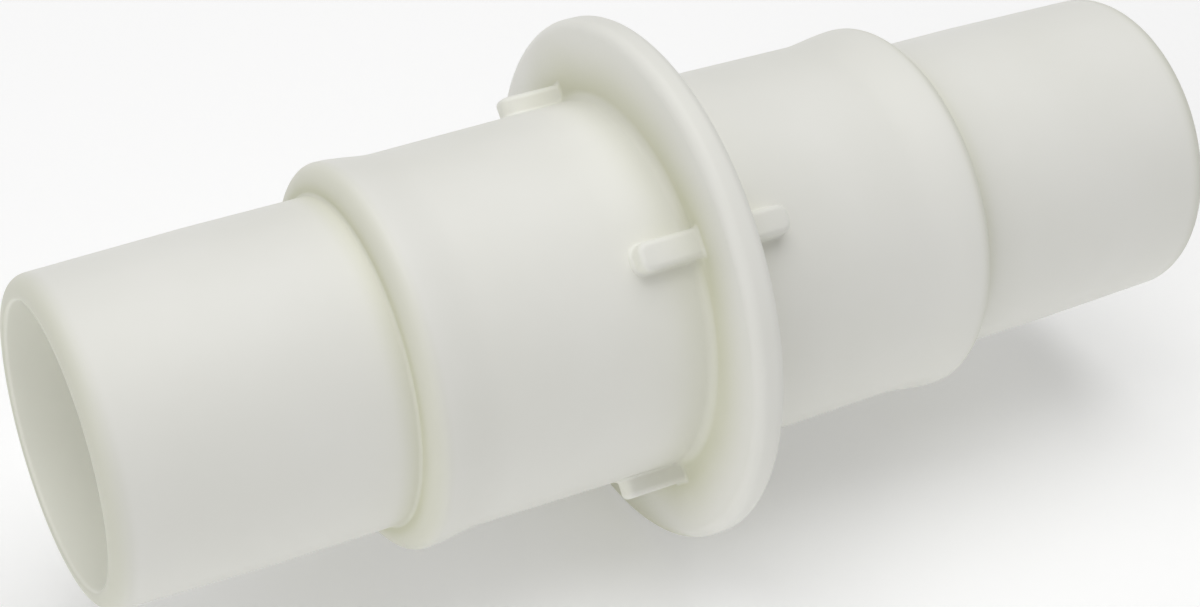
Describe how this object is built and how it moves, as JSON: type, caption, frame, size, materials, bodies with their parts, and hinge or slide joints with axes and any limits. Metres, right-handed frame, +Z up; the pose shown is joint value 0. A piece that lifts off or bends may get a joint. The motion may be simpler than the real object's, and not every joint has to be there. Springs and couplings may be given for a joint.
{
  "type": "push fit hose coupling",
  "caption": "Straight hose coupling in off-white plastic: a middle flange with small ribs, and on each side a large hose seat, a rounded bead and a smaller hose seat.",
  "frame": {"origin": "centre of the coupling: on the tube's axis, in the middle plane of the flange", "axes": "+X along the tube's axis, towards the right end; +Z up with the coupling lying on its side; the ribs stand at 45 degrees to Y and Z"},
  "size_m": [0.1214, 0.0538, 0.0538],
  "materials": {
    "body_plastic": "satin natural polyethylene, off-white and slightly translucent"
  },
  "bodies": {
    "root": {"bead_left": "body_plastic", "bead_right": "body_plastic", "flange": "body_plastic", "rib_left_1": "body_plastic", "rib_left_2": "body_plastic", "rib_left_3": "body_plastic", "rib_left_4": "body_plastic", "rib_right_1": "body_plastic", "rib_right_2": "body_plastic", "rib_right_3": "body_plastic", "rib_right_4": "body_plastic", "seat_32_left": "body_plastic", "seat_32_right": "body_plastic", "seat_38_left": "body_plastic", "seat_38_right": "body_plastic"}
  },
  "joints": []
}
